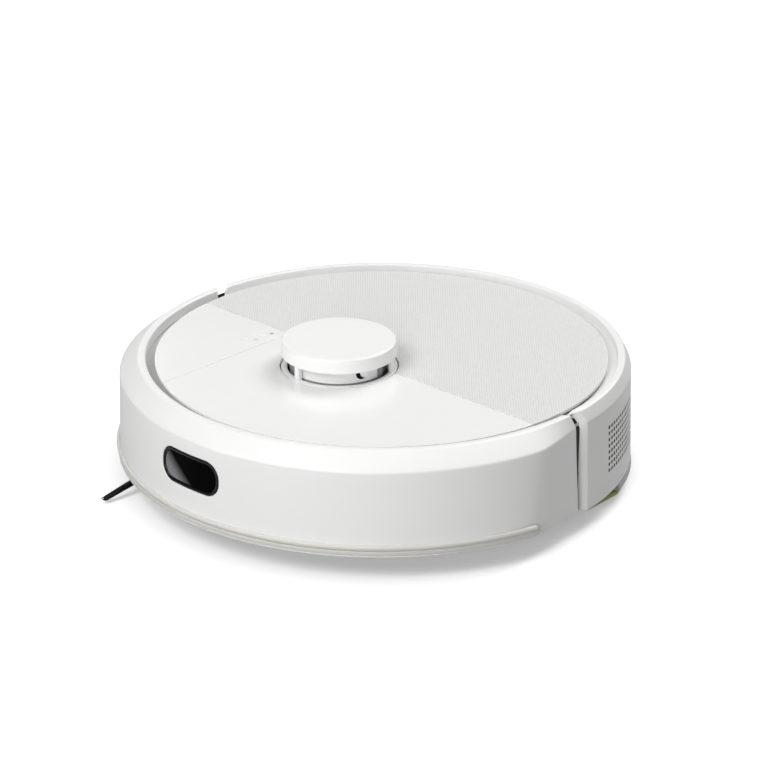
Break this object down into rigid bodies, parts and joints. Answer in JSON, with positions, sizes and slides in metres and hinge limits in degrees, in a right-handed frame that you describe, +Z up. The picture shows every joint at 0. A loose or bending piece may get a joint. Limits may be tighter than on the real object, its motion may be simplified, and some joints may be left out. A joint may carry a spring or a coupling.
{
  "type": "robot vacuum",
  "caption": "Round robot vacuum with a laser turret, sprung bumper, swing-arm drive wheels, caster, brushes, pull-out dust bin, suction fan and a slide-off mop module.",
  "frame": {"origin": "centre of the overall length and width, on the floor", "axes": "+Z up, -Y towards the front of the robot, +X towards its left side"},
  "size_m": [0.3454, 0.342, 0.098],
  "materials": {
    "white_shell": "satin moulded shell",
    "white_cover": "smooth, slightly glossy",
    "woven_cover": "fine woven relief",
    "soft_strip": "soft, matt",
    "black_gloss": "polished",
    "dark_plastic": "fine grain",
    "grey_plastic": "fine grain",
    "mop_green": "satin",
    "smoke_plastic": "clear smoke tint",
    "black_rubber": "matt",
    "tyre_rubber": "ribbed tread",
    "bristle": "bundled nylon bristles",
    "steel": "bright zinc plated",
    "nickel": "nickel plated",
    "board_green": "solder mask",
    "cell_wrap": "shrink-wrapped cells",
    "filter_paper": "pleated",
    "pad_cloth": "looped microfibre"
  },
  "bodies": {
    "chassis": {"base_pan": "dark_plastic", "rear_shell": "white_shell", "top_deck": "dark_plastic", "front_cover": "white_cover", "control_panel": "white_cover", "rear_cover": "woven_cover", "charging_contact_right": "nickel", "charging_contact_left": "nickel", "cliff_lens_right": "black_gloss", "cliff_lens_left": "black_gloss", "bumper_spring_left": "steel", "bumper_spring_right": "steel", "lidar_base": "dark_plastic", "lidar_motor": "steel", "lidar_belt": "black_rubber", "left_wheel_pivot_pin": "steel", "right_wheel_pivot_pin": "steel", "left_wheel_spring": "steel", "right_wheel_spring": "steel", "brush_hood": "dark_plastic", "brush_guard": "grey_plastic", "brush_gearmotor": "grey_plastic", "side_brush_motor": "steel", "bin_bay": "dark_plastic", "fan_housing": "dark_plastic", "fan_motor": "steel", "battery_pack": "cell_wrap", "battery_door": "dark_plastic", "main_board": "board_green"},
    "bumper": {"front_bumper": "white_shell", "bumper_strip": "soft_strip", "bumper_window": "black_gloss"},
    "power_button": {"power_button": "white_cover"},
    "home_button": {"home_button": "white_cover"},
    "turret_cap": {"lidar_cap": "white_shell"},
    "turret_drum": {"lidar_drum": "grey_plastic"},
    "turret_pulley": {"lidar_pulley": "grey_plastic"},
    "left_arm": {"left_wheel_arm": "dark_plastic", "left_wheel_motor": "steel"},
    "left_wheel": {"left_wheel_hub": "grey_plastic", "left_wheel_tyre": "tyre_rubber"},
    "right_arm": {"right_wheel_arm": "dark_plastic", "right_wheel_motor": "steel"},
    "right_wheel": {"right_wheel_hub": "grey_plastic", "right_wheel_tyre": "tyre_rubber"},
    "caster_swivel": {"caster_fork": "dark_plastic", "caster_axle": "steel"},
    "caster_wheel": {"caster_wheel": "black_rubber"},
    "main_brush": {"main_brush": "black_rubber"},
    "side_brush": {"side_brush_hub": "grey_plastic", "side_brush_bristles": "bristle"},
    "dust_bin": {"dust_bin": "smoke_plastic", "bin_lid": "dark_plastic", "bin_filter": "filter_paper", "bin_face": "white_shell"},
    "bin_release": {"bin_release": "grey_plastic"},
    "fan": {"fan_impeller": "grey_plastic"},
    "mop_module": {"water_tank": "smoke_plastic", "mop_plate": "mop_green", "mop_pad": "pad_cloth"}
  },
  "joints": [
    {"name": "bumper_slide", "type": "slide", "parent": "chassis", "child": "bumper", "axis": [0, 1, 0], "range_m": [0, 0.004], "stiffness_N_per_m": 600, "springref_m": -0.002, "deforming": ["bumper_spring_left", "bumper_spring_right"]},
    {"name": "power_press", "type": "slide", "parent": "chassis", "child": "power_button", "axis": [0, 0, -1], "range_m": [0, 0.0007], "stiffness_N_per_m": 200, "springref_m": -0.0008},
    {"name": "home_press", "type": "slide", "parent": "chassis", "child": "home_button", "axis": [0, 0, -1], "range_m": [0, 0.0007], "stiffness_N_per_m": 200, "springref_m": -0.0008},
    {"name": "turret_press", "type": "slide", "parent": "chassis", "child": "turret_cap", "axis": [0, 0, -1], "range_m": [0, 0.0015], "stiffness_N_per_m": 600, "springref_m": -0.0012},
    {"name": "drum_spin", "type": "hinge", "parent": "chassis", "child": "turret_drum", "pos_m": [-0.006, -0.028, 0.07], "axis": [0, 0, 1], "continuous": true},
    {"name": "pulley_spin", "type": "hinge", "parent": "chassis", "child": "turret_pulley", "pos_m": [-0.039, -0.028, 0.07], "axis": [0, 0, 1], "continuous": true},
    {"name": "left_suspension", "type": "hinge", "parent": "chassis", "child": "left_arm", "pos_m": [0.097, -0.044, 0.03], "axis": [-1, 0, 0], "range_deg": [0, 18], "stiffness_Nm_per_rad": 0.4, "springref_deg": 34.38, "deforming": ["left_wheel_spring"]},
    {"name": "left_wheel_spin", "type": "hinge", "parent": "left_arm", "child": "left_wheel", "pos_m": [0.118, 0.002, 0.034], "axis": [1, 0, 0], "continuous": true},
    {"name": "right_suspension", "type": "hinge", "parent": "chassis", "child": "right_arm", "pos_m": [-0.097, -0.044, 0.03], "axis": [-1, 0, 0], "range_deg": [0, 18], "stiffness_Nm_per_rad": 0.4, "springref_deg": 34.38, "deforming": ["right_wheel_spring"]},
    {"name": "right_wheel_spin", "type": "hinge", "parent": "right_arm", "child": "right_wheel", "pos_m": [-0.118, 0.002, 0.034], "axis": [1, 0, 0], "continuous": true},
    {"name": "caster_turn", "type": "hinge", "parent": "chassis", "child": "caster_swivel", "pos_m": [0, -0.114, 0.03], "axis": [0, 0, 1], "continuous": true},
    {"name": "caster_roll", "type": "hinge", "parent": "caster_swivel", "child": "caster_wheel", "pos_m": [0, -0.107, 0.012], "axis": [1, 0, 0], "continuous": true},
    {"name": "main_brush_spin", "type": "hinge", "parent": "chassis", "child": "main_brush", "pos_m": [0, 0.054, 0.023], "axis": [1, 0, 0], "continuous": true},
    {"name": "side_brush_spin", "type": "hinge", "parent": "chassis", "child": "side_brush", "pos_m": [-0.088, -0.102, 0.008], "axis": [0, 0, 1], "continuous": true},
    {"name": "dust_bin_slide", "type": "slide", "parent": "chassis", "child": "dust_bin", "axis": [0, 1, 0], "range_m": [0, 0.09]},
    {"name": "bin_release_press", "type": "slide", "parent": "dust_bin", "child": "bin_release", "axis": [0, -1, 0], "range_m": [0, 0.002], "stiffness_N_per_m": 250, "springref_m": -0.001},
    {"name": "fan_spin", "type": "hinge", "parent": "chassis", "child": "fan", "pos_m": [0.094, 0.094, 0.042], "axis": [1, 0, 0], "continuous": true},
    {"name": "mop_module_slide", "type": "slide", "parent": "chassis", "child": "mop_module", "axis": [0, 1, 0], "range_m": [0, 0.09]}
  ],
  "couplings": [
    {"joint": "pulley_spin", "follows": "drum_spin", "ratio": 4.8}
  ]
}
